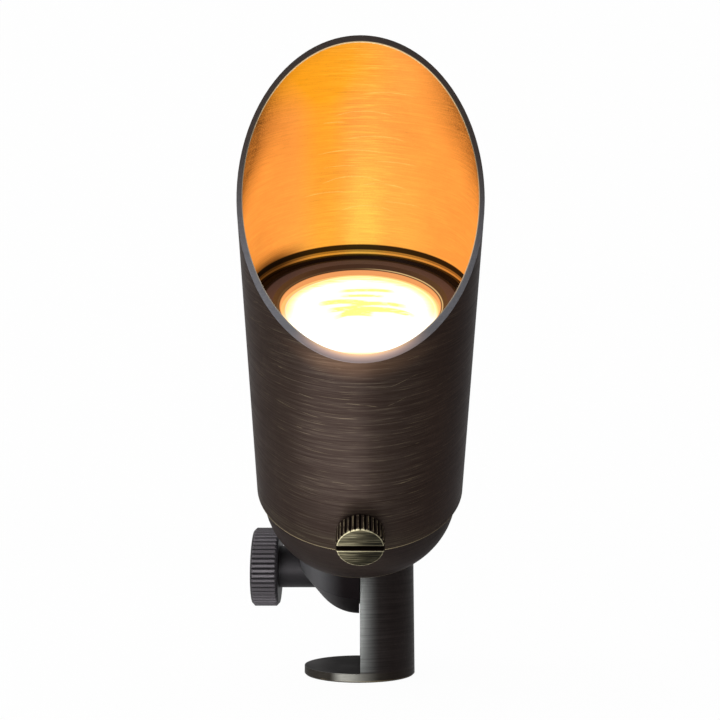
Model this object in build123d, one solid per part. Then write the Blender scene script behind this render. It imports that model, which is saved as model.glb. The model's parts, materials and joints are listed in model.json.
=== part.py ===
"""Garden spotlight head on its clamp knuckle, in millimetres.

The row frame has its origin at the centre of the foot's underside, +Z up along the stem,
-Y towards the side that the light leans to, and +X along the tilt pivot.  The head pieces
are drawn in a head frame, with its origin on the pivot and +Z up the head's own axis, and
then set at the tilt that the light is stored at.
"""
import os
from math import acos, atan2, cos, degrees, pi, radians, sin, tan

from build123d import *

# Clearances
RUN_FIT = 0.05        # radial, between pieces that turn or slide in each other
SEAT_GAP = 0.2        # between a piece and the pocket it is laid in
LAP_GAP = 0.3         # between the two half-round faces of the knuckle
SHROUD_GAP = 0.3      # radial, between the housing's lands and the shroud's bore
EDGE_BREAK = 0.4      # chamfer on turned edges

# Radii outwards from the standard reflector lamp
LAMP_RADIUS = 24.9
CAVITY_RADIUS = LAMP_RADIUS + 0.4
LENS_RADIUS = CAVITY_RADIUS + 1.5      # the lens lies on a ledge of this width
RIM_BORE = LENS_RADIUS + 1.6           # threaded for the retaining ring's skirt
LAND_RADIUS = RIM_BORE + 1.8           # outside of the housing under the shroud
SHROUD_WALL = 1.5
BORE_RADIUS = LAND_RADIUS + SHROUD_GAP
SHROUD_RADIUS = BORE_RADIUS + SHROUD_WALL

# Shroud: a tube with a slanting mouth
SHROUD_BACK = 127.4   # length along the tall side
SHROUD_FRONT = 62.0   # length along the short side
SHROUD_SEAT = 35.8    # pivot to the shroud's lower edge
SLIDE_UP = 22.0       # travel of the shroud along the housing
SLIDE_DOWN = 2.0

# Thumbscrew that locks the shroud
LOCK_HEIGHT = 7.7     # centre of the screw above the shroud's lower edge
LOCK_HEAD_RADIUS = 6.8
LOCK_HEAD_LENGTH = 6.2
LOCK_HEAD_STANDOFF = 0.3
LOCK_TEETH = 30
LOCK_TOOTH_DEPTH = 0.55
LOCK_SLOT_WIDTH = 1.5
LOCK_SLOT_DEPTH = 1.6
LOCK_THREAD_RADIUS = 2.5
LOCK_TIP_RADIUS = 1.7
LOCK_TIP_LENGTH = 1.2
LOCK_TIP_GAP = 0.15
CHAMFER_LOCK = 0.5

# Housing: a turned bullet with its lower half milled into a half-round tail
SHOULDER = 20.0       # pivot to the milled shoulder
DOME_RADIUS = 21.0    # round of the housing below the shroud
DOME_TOP = 33.0
TAIL_RADIUS = 20.0
TAIL_END_RADIUS = 16.3
TAIL_END_CENTRE = 1.8
TAIL_TAPER = 26.6     # half angle of the cone above the ball end, degrees
CAVITY_FLOOR = 30.0
HOUSING_TOP = 99.8
RIM_CHAMFER = 0.8
LOCK_BAND_DEPTH = 0.9
BAND_END_GAP = 0.4
LOWER_O_RING = 76.0
UPPER_O_RING = 88.0
O_RING_SECTION = 1.3  # half the rubber's thickness
O_RING_GROOVE_DEPTH = 2.3
GROOVE_SIDE_GAP = 0.15
RUBBER_CORNER = 0.3   # corner of a squeezed ring, as a share of its thickness

# Lens, its gasket and the ring that holds them
LENS_THICKNESS = 3.2
LENS_TOP = HOUSING_TOP - 3.2
GASKET_THICKNESS = 1.0
GASKET_WIDTH = 1.3
RETAINER_TOP = HOUSING_TOP - 0.5
RETAINER_LIP_TOP = RETAINER_TOP - 1.35
RETAINER_BORE = LENS_RADIUS - 4.7
RETAINER_FLAT_BORE = LENS_RADIUS - 2.6

# Lamp: reflector lamp of 50 mm, with two pins
LAMP_LENGTH = 44.0
LAMP_LENS_GAP = 0.4
LAMP_RIM_HEIGHT = 4.0
LAMP_WALL = 1.4
LAMP_RIM_STEP = 0.4   # the rim stands out from the finned cone
LAMP_NECK_RADIUS = 12.0
LAMP_FINS = 18
FIN_SLOT_WIDTH = 1.8
FIN_SLOT_DEPTH = 4.0
LAMP_CUP_DEPTH = 16.0
BOARD_RADIUS = 14.0
BOARD_THICKNESS = 1.6
CHIP_SIZE = 3.5
CHIP_HEIGHT = 0.8
CHIP_PITCH_RADIUS = 6.0
CHIP_COUNT = 4
OPTIC_THICKNESS = 2.0
OPTIC_DEPTH = 0.6     # below the lamp's rim
BASE_LENGTH = 10.0
BASE_WIDTH = 15.0
BASE_DEPTH = 8.0
PIN_RADIUS = 0.75
PIN_SPACING = 5.33
PIN_LENGTH = 7.0

# Lamp holder and its bracket
SOCKET_WIDTH = 19.0
SOCKET_DEPTH = 9.0
SOCKET_HEIGHT = 11.5
SOCKET_GAP = 0.5
BRACKET_THICKNESS = 1.0
BRACKET_WIDTH = 9.0
BRACKET_FOOT = 9.0
BRACKET_SCREW_RADIUS = 1.5
BRACKET_SCREW_DEPTH = 5.0
BRACKET_SCREW_HEAD = 2.8
BRACKET_SCREW_HEAD_HEIGHT = 1.8

# Knuckle: stem with a foot, clamp stud and knob
STEM_RADIUS = 18.0
STEM_CROWN = 18.0     # radius of the stem's top about the pivot
FOOT_THICKNESS = 2.6
PIVOT_HEIGHT = 33.9
TILT = 40.5           # lean of the head from upright, degrees
CHAMBER_RADIUS = 9.0  # chamber round the stud, where the leads cross the knuckle
CHAMBER_DEPTH = 7.0
FACE_SEAL_RADIUS = 11.6
FACE_SEAL_SECTION = 0.87  # half the rubber's thickness
FACE_GROOVE_DEPTH = 1.5
FACE_GROOVE_SIDE_GAP = 0.25
LEAD_HOLE_RADIUS = 3.2
LEAD_HOLE_OFFSET = 5.0
STEM_LEAD_OFFSET = STEM_RADIUS / 2
STEM_LEAD_TOP = 5.0   # below the pivot
SPIKE_THREAD_RADIUS = 4.5
SPIKE_THREAD_DEPTH = 14.0
GROMMET_SEAT = 15.5   # foot to the grommet's lower end
GROMMET_LENGTH = 8.0
GROMMET_BORE = 1.6
GROMMET_CHAMFER = 0.6
STUD_RADIUS = 4.0
STUD_CLEARANCE = 0.3
STUD_WALL = 2.5       # left between the blind hole and the stem's outside
STUD_END_GAP = 0.8
SHANK_RADIUS = 6.8
SHANK_SEAT = 11.0     # pivot plane to the floor of the knob's counterbore
WASHER_THICKNESS = 1.0
KNOB_RADIUS = 12.7
KNOB_INNER = 26.5     # pivot plane to the knob's inner face
KNOB_LENGTH = 8.8
KNOB_TEETH = 50
KNOB_TOOTH_DEPTH = 0.6
KNOB_CHAMFER = 0.9
STUD_IN_KNOB = 12.0

HEAD = Location((0, 0, PIVOT_HEIGHT), (TILT, 0, 0))
PIVOT = Location((0, 0, PIVOT_HEIGHT))
ALONG_X = Rotation(0, 90, 0)      # turns +Z to +X
TOWARDS_FRONT = Rotation(90, 0, 0)  # turns +Z to -Y

LOCK_CENTRE = SHROUD_SEAT + LOCK_HEIGHT
BAND_RADIUS = LAND_RADIUS - LOCK_BAND_DEPTH
LENS_BOTTOM = LENS_TOP - LENS_THICKNESS
LENS_LEDGE = LENS_BOTTOM - GASKET_THICKNESS
LAMP_TOP = LENS_BOTTOM - LAMP_LENS_GAP
LAMP_BOTTOM = LAMP_TOP - LAMP_LENGTH
SOCKET_TOP = LAMP_BOTTOM - SOCKET_GAP
SOCKET_BOTTOM = SOCKET_TOP - SOCKET_HEIGHT
FAR = 2 * SHROUD_BACK             # longer than any piece, for cutting tools


def turned(*corners):
    """A solid of revolution about Z from (radius, height) corners."""
    return revolve(Plane.XZ * make_face(Polyline(*corners, close=True)), Axis.Z)


def ring(outer, inner, low, high):
    """A plain turned ring between two heights."""
    return turned((inner, low), (outer, low), (outer, high), (inner, high))


def rod(radius, low, high):
    """A plain turned rod between two heights."""
    return turned((0, low), (radius, low), (radius, high), (0, high))


def chamfered_rod(radius, low, high, chamfer):
    """A turned rod with both end edges chamfered."""
    return turned((0, low), (radius - chamfer, low), (radius, low + chamfer),
                  (radius, high - chamfer), (radius - chamfer, high), (0, high))


def block(width, depth, low, high):
    """A box centred on Z between two heights."""
    return Pos(0, 0, low) * Box(width, depth, high - low,
                                align=(Align.CENTER, Align.CENTER, Align.MIN))


def knurled_rod(radius, low, high, teeth, depth, chamfer):
    """A rod with straight V teeth, chamfered at both ends."""
    points = []
    for tooth in range(teeth):
        for share, reach in ((-0.22, 0.0), (0.22, 0.0), (0.5, depth)):
            angle = 2 * pi * (tooth + share) / teeth
            points.append(((radius - reach) * cos(angle), (radius - reach) * sin(angle)))
    blank = Pos(0, 0, low) * extrude(make_face(Polyline(*points, close=True)), high - low)
    return blank & chamfered_rod(radius, low, high, chamfer)


def keep(shape):
    """The single solid of a finished boolean."""
    solids = shape.solids()
    if len(solids) != 1:
        raise ValueError(f"expected one solid, found {len(solids)}")
    return solids[0]


# Stem side of the knuckle ----------------------------------------------------------------

def knuckle_stem():
    """Half-round stem on its round foot, with the lead way and the stud's blind hole."""
    top = PIVOT_HEIGHT + STEM_CROWN
    column = rod(STEM_RADIUS, 0, top)
    lap = Pos(LAP_GAP / 2, 0, 0) * Box(FAR, FAR, FAR, align=(Align.MIN, Align.CENTER, Align.CENTER))
    crown = PIVOT * ALONG_X * Cylinder(STEM_CROWN, FAR)
    shaft = column & lap & (crown + block(FAR, FAR, 0, PIVOT_HEIGHT))
    foot = turned((0, 0), (STEM_RADIUS - EDGE_BREAK, 0), (STEM_RADIUS, EDGE_BREAK),
                  (STEM_RADIUS, FOOT_THICKNESS), (0, FOOT_THICKNESS))
    body = shaft - ring(FAR, STEM_RADIUS - EDGE_BREAK, -EDGE_BREAK, EDGE_BREAK) + foot
    chamber_end = LAP_GAP / 2 + CHAMBER_DEPTH
    body -= PIVOT * ALONG_X * rod(CHAMBER_RADIUS, 0, chamber_end)
    body -= PIVOT * ALONG_X * rod(STUD_RADIUS + RUN_FIT, 0, STEM_RADIUS - STUD_WALL)
    body -= Pos(STEM_LEAD_OFFSET, 0, 0) * (
        rod(LEAD_HOLE_RADIUS, 0, PIVOT_HEIGHT - STEM_LEAD_TOP)
        + rod(SPIKE_THREAD_RADIUS, 0, SPIKE_THREAD_DEPTH)
    )
    return keep(body)


def lead_grommet():
    """Rubber bush pushed up the lead hole, above the foot's thread."""
    outer = LEAD_HOLE_RADIUS - RUN_FIT
    high = GROMMET_SEAT + GROMMET_LENGTH
    bush = turned((GROMMET_BORE, GROMMET_SEAT), (outer, GROMMET_SEAT),
                  (outer, high - GROMMET_CHAMFER), (outer - GROMMET_CHAMFER, high),
                  (GROMMET_BORE, high))
    return Pos(STEM_LEAD_OFFSET, 0, 0) * bush


# Clamp: the knob, its stud and washer, drawn along X at the pivot --------------------------

def along_pivot(solid):
    """Lays a solid drawn outwards along Z on the knob's side of the pivot."""
    return PIVOT * Rotation(0, -90, 0) * solid


def thrust_washer():
    """Washer between the knob's shank and the floor of its counterbore."""
    low = SHANK_SEAT + RUN_FIT
    return along_pivot(ring(SHANK_RADIUS, STUD_RADIUS + RUN_FIT, low, low + WASHER_THICKNESS))


def clamp_knob():
    """Knurled knob with its thick shank, bored for the stud."""
    shank_end = SHANK_SEAT + 2 * RUN_FIT + WASHER_THICKNESS
    knob = knurled_rod(KNOB_RADIUS, KNOB_INNER, KNOB_INNER + KNOB_LENGTH,
                       KNOB_TEETH, KNOB_TOOTH_DEPTH, KNOB_CHAMFER)
    knob += rod(SHANK_RADIUS, shank_end, KNOB_INNER + KNOB_CHAMFER)
    knob -= rod(STUD_RADIUS, shank_end, shank_end + STUD_IN_KNOB)
    return along_pivot(keep(knob))


def clamp_stud():
    """Threaded stud, pressed into the knob and screwed into the stem."""
    shank_end = SHANK_SEAT + 2 * RUN_FIT + WASHER_THICKNESS
    tip = STEM_RADIUS - STUD_WALL - STUD_END_GAP
    return along_pivot(chamfered_rod(STUD_RADIUS, -tip, shank_end + STUD_IN_KNOB, EDGE_BREAK))


# Housing ---------------------------------------------------------------------------------

def tail_outline():
    """Half outline of the tail: ball end, cone and straight side up to the shoulder."""
    taper = radians(TAIL_TAPER)
    ball_r = TAIL_END_RADIUS * cos(taper)
    ball_z = TAIL_END_CENTRE - TAIL_END_RADIUS * sin(taper)
    middle = (pi / 2 + taper) / 2
    halfway = (TAIL_END_RADIUS * cos(middle), TAIL_END_CENTRE - TAIL_END_RADIUS * sin(middle))
    cone_top = ball_z + (TAIL_RADIUS - ball_r) / tan(taper)
    tip = (0, TAIL_END_CENTRE - TAIL_END_RADIUS)
    arc = ThreePointArc(tip, halfway, (ball_r, ball_z))
    sides = Polyline((ball_r, ball_z), (TAIL_RADIUS, cone_top), (TAIL_RADIUS, SHOULDER + EDGE_BREAK),
                     (0, SHOULDER + EDGE_BREAK), tip)
    return arc + sides


def dome_outline():
    """Half outline of the housing from its shoulder, round the dome, to the top rim."""
    turn = acos((DOME_TOP - SHOULDER) / DOME_RADIUS)
    centre = LAND_RADIUS - DOME_RADIUS
    rim = (centre + DOME_RADIUS * sin(turn), SHOULDER)
    half = (pi / 2 + turn) / 2
    halfway = (centre + DOME_RADIUS * sin(half), DOME_TOP - DOME_RADIUS * cos(half))
    arc = ThreePointArc(rim, halfway, (LAND_RADIUS, DOME_TOP))
    sides = Polyline((LAND_RADIUS, DOME_TOP), (LAND_RADIUS, HOUSING_TOP - EDGE_BREAK),
                     (LAND_RADIUS - EDGE_BREAK, HOUSING_TOP), (0, HOUSING_TOP), (0, SHOULDER), rim)
    return arc + sides


def lamp_space():
    """The hollow that holds the lamp, the lens and the retaining ring."""
    return turned((0, CAVITY_FLOOR), (CAVITY_RADIUS, CAVITY_FLOOR), (CAVITY_RADIUS, LENS_LEDGE),
                  (RIM_BORE, LENS_LEDGE), (RIM_BORE, HOUSING_TOP - RIM_CHAMFER),
                  (RIM_BORE + RIM_CHAMFER, HOUSING_TOP), (0, HOUSING_TOP))


def bracket_foot_centre():
    """Distance of each bracket screw from the head's axis."""
    return SOCKET_WIDTH / 2 + BRACKET_THICKNESS + BRACKET_FOOT / 2


def housing():
    """Turned bullet body: lamp space, seal grooves, lock band and the half-round tail."""
    body = revolve(Plane.XZ * make_face(dome_outline()), Axis.Z)
    body += revolve(Plane.XZ * make_face(tail_outline()), Axis.Z)
    body -= Pos(-LAP_GAP / 2, 0, 0) * Box(FAR, FAR, 2 * SHOULDER,
                                          align=(Align.MIN, Align.CENTER, Align.CENTER))
    body -= lamp_space()
    band_low = LOCK_CENTRE - LOCK_THREAD_RADIUS - SLIDE_DOWN - BAND_END_GAP
    band_high = LOCK_CENTRE + LOCK_THREAD_RADIUS + SLIDE_UP + BAND_END_GAP
    body -= ring(FAR, BAND_RADIUS, band_low, band_high)
    half_groove = O_RING_SECTION + GROOVE_SIDE_GAP
    for height in (LOWER_O_RING, UPPER_O_RING):
        body -= ring(FAR, LAND_RADIUS - O_RING_GROOVE_DEPTH, height - half_groove, height + half_groove)
    wall_x = -LAP_GAP / 2
    body -= along_x(rod(CHAMBER_RADIUS, wall_x - CHAMBER_DEPTH, 0))
    body -= along_x(rod(STUD_RADIUS + STUD_CLEARANCE, -SHANK_SEAT, 0))
    body -= along_x(rod(SHANK_RADIUS + STUD_CLEARANCE, -FAR, -SHANK_SEAT))
    groove_half = FACE_SEAL_SECTION + FACE_GROOVE_SIDE_GAP
    body -= along_x(ring(FACE_SEAL_RADIUS + groove_half, FACE_SEAL_RADIUS - groove_half,
                         wall_x - FACE_GROOVE_DEPTH, 0))
    body -= Pos(-LEAD_HOLE_OFFSET, 0, 0) * rod(LEAD_HOLE_RADIUS, 0, CAVITY_FLOOR)
    for side in (-1, 1):
        body -= Pos(0, side * bracket_foot_centre(), 0) * rod(
            BRACKET_SCREW_RADIUS + RUN_FIT, CAVITY_FLOOR - BRACKET_SCREW_DEPTH, CAVITY_FLOOR)
    return HEAD * keep(body)


def along_x(solid):
    """Lays a solid drawn along Z on the head frame's X axis."""
    return ALONG_X * solid


def squeezed_ring(inner, outer, low, high):
    """A rubber ring squeezed into its groove, flat on four sides with broad corners."""
    corner = min(outer - inner, high - low) * RUBBER_CORNER
    return turned((inner + corner, low), (outer - corner, low), (outer, low + corner),
                  (outer, high - corner), (outer - corner, high), (inner + corner, high),
                  (inner, high - corner), (inner, low + corner))


def knuckle_o_ring():
    """Face seal in the tail's flat, round the stud and the leads."""
    floor = -LAP_GAP / 2 - FACE_GROOVE_DEPTH
    rubber = squeezed_ring(FACE_SEAL_RADIUS - FACE_SEAL_SECTION, FACE_SEAL_RADIUS + FACE_SEAL_SECTION,
                           floor, floor + 2 * FACE_SEAL_SECTION)
    return HEAD * along_x(rubber)


def housing_o_ring(height):
    """Seal between the housing and the shroud that runs on it."""
    floor = LAND_RADIUS - O_RING_GROOVE_DEPTH + RUN_FIT
    return HEAD * squeezed_ring(floor, BORE_RADIUS - RUN_FIT,
                                height - O_RING_SECTION, height + O_RING_SECTION)


# Lens stack ------------------------------------------------------------------------------

def lens_gasket():
    """Flat rubber ring between the lens and its ledge."""
    outer = LENS_RADIUS
    return HEAD * ring(outer, outer - GASKET_WIDTH, LENS_LEDGE, LENS_BOTTOM)


def lens():
    """Flat tempered lens with ground edges."""
    return HEAD * chamfered_rod(LENS_RADIUS, LENS_BOTTOM, LENS_TOP, EDGE_BREAK)


def lens_retainer():
    """Threaded ring whose bevelled lip holds the lens down."""
    outer = RIM_BORE - RUN_FIT
    skirt = LENS_RADIUS + RUN_FIT
    return HEAD * turned((skirt, LENS_LEDGE + SEAT_GAP), (outer, LENS_LEDGE + SEAT_GAP),
                         (outer, RETAINER_TOP - EDGE_BREAK), (outer - EDGE_BREAK, RETAINER_TOP),
                         (RETAINER_FLAT_BORE, RETAINER_TOP), (RETAINER_BORE, RETAINER_LIP_TOP),
                         (RETAINER_BORE, LENS_TOP), (skirt, LENS_TOP))


# Lamp ------------------------------------------------------------------------------------

def lamp_heatsink():
    """Finned cup of the lamp."""
    shoulder = LAMP_TOP - LAMP_RIM_HEIGHT
    neck = LAMP_BOTTOM + BASE_LENGTH
    cup_floor = LAMP_TOP - LAMP_CUP_DEPTH
    cup = LAMP_RADIUS - LAMP_WALL
    cone = LAMP_RADIUS - LAMP_RIM_STEP
    body = turned((0, neck), (LAMP_NECK_RADIUS, neck), (cone, shoulder),
                  (LAMP_RADIUS, shoulder), (LAMP_RADIUS, LAMP_TOP), (cup, LAMP_TOP),
                  (cup, shoulder), (BOARD_RADIUS + SEAT_GAP, cup_floor), (0, cup_floor))
    tilt = degrees(atan2(cone - LAMP_NECK_RADIUS, shoulder - neck))
    reach = LAMP_NECK_RADIUS - FIN_SLOT_DEPTH
    slot = Pos(reach, 0, neck) * Rotation(0, tilt, 0) * Box(
        LAMP_RADIUS, FIN_SLOT_WIDTH, FAR, align=(Align.MIN, Align.CENTER, Align.CENTER))
    below_rim = block(FAR, FAR, 0, shoulder - LAMP_WALL)
    for number in range(LAMP_FINS):
        body -= (Rotation(0, 0, 360 * number / LAMP_FINS) * slot) & below_rim
    return HEAD * keep(body)


def led_board():
    """Round circuit board on the floor of the lamp's cup."""
    floor = LAMP_TOP - LAMP_CUP_DEPTH
    return HEAD * rod(BOARD_RADIUS, floor, floor + BOARD_THICKNESS)


def led_chips():
    """Light-emitting chips on the board."""
    low = LAMP_TOP - LAMP_CUP_DEPTH + BOARD_THICKNESS
    chips = []
    for number in range(CHIP_COUNT):
        chip = Pos(CHIP_PITCH_RADIUS, 0, 0) * block(CHIP_SIZE, CHIP_SIZE, low, low + CHIP_HEIGHT)
        chips.append(HEAD * Rotation(0, 0, 360 * (number + 0.5) / CHIP_COUNT) * chip)
    return Compound(chips)


def lamp_optic():
    """Clear front of the lamp, with a moulded collimator over each chip."""
    high = LAMP_TOP - OPTIC_DEPTH
    low = high - OPTIC_THICKNESS
    chip_top = LAMP_TOP - LAMP_CUP_DEPTH + BOARD_THICKNESS + CHIP_HEIGHT + SEAT_GAP
    optic = rod(LAMP_RADIUS - LAMP_WALL - RUN_FIT, low, high)
    collimator = turned((0, chip_top), (CHIP_SIZE / 2, chip_top),
                        (CHIP_PITCH_RADIUS * sin(pi / CHIP_COUNT), high), (0, high))
    for number in range(CHIP_COUNT):
        turn = Rotation(0, 0, 360 * (number + 0.5) / CHIP_COUNT)
        optic += turn * Pos(CHIP_PITCH_RADIUS, 0, 0) * collimator
    return HEAD * keep(optic)


def lamp_base():
    """Oblong insulating base of the lamp."""
    return HEAD * block(BASE_WIDTH, BASE_DEPTH, LAMP_BOTTOM, LAMP_BOTTOM + BASE_LENGTH)


def pin_places():
    """The two pins' places across the head's axis."""
    return (-PIN_SPACING / 2, PIN_SPACING / 2)


def lamp_pins():
    """The lamp's two contact pins."""
    pins = []
    for place in pin_places():
        pins.append(HEAD * Pos(place, 0, 0) * rod(PIN_RADIUS, LAMP_BOTTOM - PIN_LENGTH, LAMP_BOTTOM))
    return Compound(pins)


def lamp_socket():
    """Ceramic holder that the pins push into."""
    holder = block(SOCKET_WIDTH, SOCKET_DEPTH, SOCKET_BOTTOM, SOCKET_TOP)
    for place in pin_places():
        holder -= Pos(place, 0, 0) * rod(PIN_RADIUS + RUN_FIT, LAMP_BOTTOM - PIN_LENGTH - SOCKET_GAP,
                                         SOCKET_TOP)
    return HEAD * keep(holder)


def socket_bracket():
    """Bent strip that stands the holder above the floor of the lamp space."""
    inner = SOCKET_WIDTH / 2
    top = SOCKET_BOTTOM
    low = CAVITY_FLOOR
    outer = inner + BRACKET_THICKNESS
    reach = outer + BRACKET_FOOT
    half = Polyline((0, top), (outer, top), (outer, low + BRACKET_THICKNESS),
                    (reach, low + BRACKET_THICKNESS), (reach, low), (inner, low),
                    (inner, top - BRACKET_THICKNESS), (0, top - BRACKET_THICKNESS), close=True)
    strip = extrude(Plane.YZ * make_face(half), BRACKET_WIDTH / 2, both=True)
    for_screw = Pos(0, bracket_foot_centre(), 0) * rod(
        BRACKET_SCREW_RADIUS + SEAT_GAP, low - BRACKET_THICKNESS, low + 2 * BRACKET_THICKNESS)
    side = strip - for_screw
    return HEAD * keep(side + side.mirror(Plane.XZ))


def bracket_screws():
    """Two pan-headed screws that hold the bracket down."""
    seat = CAVITY_FLOOR + BRACKET_THICKNESS
    low = CAVITY_FLOOR - BRACKET_SCREW_DEPTH + SEAT_GAP
    top = seat + BRACKET_SCREW_HEAD_HEIGHT
    screw = turned((0, low), (BRACKET_SCREW_RADIUS, low), (BRACKET_SCREW_RADIUS, seat),
                   (BRACKET_SCREW_HEAD, seat), (BRACKET_SCREW_HEAD, top - EDGE_BREAK),
                   (BRACKET_SCREW_HEAD - EDGE_BREAK, top), (0, top))
    places = (-bracket_foot_centre(), bracket_foot_centre())
    return Compound([HEAD * Pos(0, place, 0) * screw for place in places])


# Shroud and its thumbscrew ---------------------------------------------------------------

def shroud():
    """Tube with a slanting mouth, low at the front, and a tapped hole for the thumbscrew."""
    low = SHROUD_SEAT
    tube = turned((BORE_RADIUS + EDGE_BREAK, low), (SHROUD_RADIUS - EDGE_BREAK, low),
                  (SHROUD_RADIUS, low + EDGE_BREAK), (SHROUD_RADIUS, low + SHROUD_BACK),
                  (BORE_RADIUS, low + SHROUD_BACK), (BORE_RADIUS, low + EDGE_BREAK))
    rise = SHROUD_BACK - SHROUD_FRONT
    slant = degrees(atan2(rise, 2 * SHROUD_RADIUS))
    middle = low + (SHROUD_BACK + SHROUD_FRONT) / 2
    above = Box(FAR, FAR, FAR, align=(Align.CENTER, Align.CENTER, Align.MIN))
    tube -= Pos(0, 0, middle) * Rotation(slant, 0, 0) * above
    tube -= Pos(0, 0, LOCK_CENTRE) * TOWARDS_FRONT * rod(LOCK_THREAD_RADIUS + RUN_FIT, 0, FAR)
    return HEAD * keep(tube)


def at_lock(solid):
    """Sets a solid drawn outwards along Z on the thumbscrew's axis."""
    return HEAD * Pos(0, 0, LOCK_CENTRE) * TOWARDS_FRONT * solid


def screw_tip():
    """Soft tip that bears on the housing's lock band."""
    low = BAND_RADIUS + LOCK_TIP_GAP
    return at_lock(rod(LOCK_TIP_RADIUS, low, low + LOCK_TIP_LENGTH))


def shroud_screw():
    """Slotted thumbscrew with a straight-knurled head."""
    head_low = SHROUD_RADIUS + LOCK_HEAD_STANDOFF
    head_high = head_low + LOCK_HEAD_LENGTH
    tip_low = BAND_RADIUS + LOCK_TIP_GAP
    skirt = tip_low + LOCK_TIP_LENGTH / 2
    screw = knurled_rod(LOCK_HEAD_RADIUS, head_low, head_high, LOCK_TEETH, LOCK_TOOTH_DEPTH,
                        CHAMFER_LOCK)
    screw += rod(LOCK_THREAD_RADIUS, skirt, head_low + CHAMFER_LOCK)
    screw -= rod(LOCK_TIP_RADIUS + RUN_FIT, skirt, tip_low + LOCK_TIP_LENGTH + RUN_FIT)
    screw -= block(2 * FAR, LOCK_SLOT_WIDTH, head_high - LOCK_SLOT_DEPTH, head_high + LOCK_SLOT_DEPTH)
    return at_lock(keep(screw))


PARTS = {
    "knuckle_stem": knuckle_stem(),
    "lead_grommet": lead_grommet(),
    "thrust_washer": thrust_washer(),
    "clamp_knob": clamp_knob(),
    "clamp_stud": clamp_stud(),
    "housing": housing(),
    "knuckle_o_ring": knuckle_o_ring(),
    "lower_o_ring": housing_o_ring(LOWER_O_RING),
    "upper_o_ring": housing_o_ring(UPPER_O_RING),
    "lens_gasket": lens_gasket(),
    "lens": lens(),
    "lens_retainer": lens_retainer(),
    "lamp_heatsink": lamp_heatsink(),
    "led_board": led_board(),
    "led_chips": led_chips(),
    "lamp_optic": lamp_optic(),
    "lamp_base": lamp_base(),
    "lamp_pins": lamp_pins(),
    "lamp_socket": lamp_socket(),
    "socket_bracket": socket_bracket(),
    "bracket_screws": bracket_screws(),
    "shroud": shroud(),
    "screw_tip": screw_tip(),
    "shroud_screw": shroud_screw(),
}

os.makedirs("parts", exist_ok=True)
for name, solid in PARTS.items():
    export_step(solid, os.path.join("parts", name + ".step"))
    print(f"{name}: {solid.volume:.0f} mm3")
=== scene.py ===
"""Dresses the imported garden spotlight: finishes for every piece, the painted glow of its lamp,
the foot's thread and the mouth's rounded edge that the solids leave out, and the stage.

Lengths in a finish are in millimetres in the head frame or the row frame; mesh lengths are metres.
"""

import json
from math import atan2, cos, pi, radians, sin

import bpy
import numpy as np
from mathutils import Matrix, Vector


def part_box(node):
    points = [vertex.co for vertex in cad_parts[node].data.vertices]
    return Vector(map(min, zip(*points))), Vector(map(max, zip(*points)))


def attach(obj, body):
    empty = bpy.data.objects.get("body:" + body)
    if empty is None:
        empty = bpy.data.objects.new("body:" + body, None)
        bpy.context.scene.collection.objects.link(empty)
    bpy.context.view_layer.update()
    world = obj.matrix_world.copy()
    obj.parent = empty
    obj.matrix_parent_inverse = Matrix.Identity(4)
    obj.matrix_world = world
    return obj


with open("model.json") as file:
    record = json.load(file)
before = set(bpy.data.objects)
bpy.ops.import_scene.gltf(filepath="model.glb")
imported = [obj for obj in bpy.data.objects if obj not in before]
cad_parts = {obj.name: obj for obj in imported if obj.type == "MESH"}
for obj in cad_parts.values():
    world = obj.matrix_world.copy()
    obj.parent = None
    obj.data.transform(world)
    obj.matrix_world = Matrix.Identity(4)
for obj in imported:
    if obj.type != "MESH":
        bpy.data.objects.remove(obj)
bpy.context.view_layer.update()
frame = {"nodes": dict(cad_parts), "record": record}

bl_info = {
    "name": "Garden spotlight",
    "version": (1, 0, 0),
    "blender": (4, 5, 0),
    "location": "3D View > Sidebar > Spotlight",
    "description": "Finishes, glow, the foot's thread, the mouth's edge and stage for a garden spotlight",
    "category": "Object",
}

JOINTS = {joint["name"]: joint for joint in frame["record"]["behaviour"]["joints"]}
PIVOT = Vector(JOINTS["head_tilt"]["pos_m"])
AXIS = Vector(JOINTS["shroud_turn"]["axis"])
TILT = atan2(-AXIS.y, AXIS.z)
MM = 0.001


# Places taken from the frame ---------------------------------------------------------------

def node_points(node):
    """A CAD node's points as an array of metres in the row frame."""
    mesh = frame["nodes"][node].data
    flat = np.empty(3 * len(mesh.vertices), np.float32)
    mesh.vertices.foreach_get("co", flat)
    return flat.reshape(-1, 3).astype(float)


def to_head(points):
    """Row-frame points in metres as head-frame points in millimetres."""
    y = points[:, 1] - PIVOT.y
    z = points[:, 2] - PIVOT.z
    return np.stack((points[:, 0], y * cos(TILT) + z * sin(TILT), z * cos(TILT) - y * sin(TILT)), 1) / MM


def from_head(x, y, z):
    """Head-frame arrays in millimetres as row-frame points in metres."""
    points = np.stack((x + 0 * z, y * cos(TILT) - z * sin(TILT), y * sin(TILT) + z * cos(TILT)), -1)
    return points * MM + np.array(PIVOT)


def radii(points):
    """How far each head-frame point lies from the head's axis."""
    return np.hypot(points[:, 0], points[:, 1])


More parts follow.
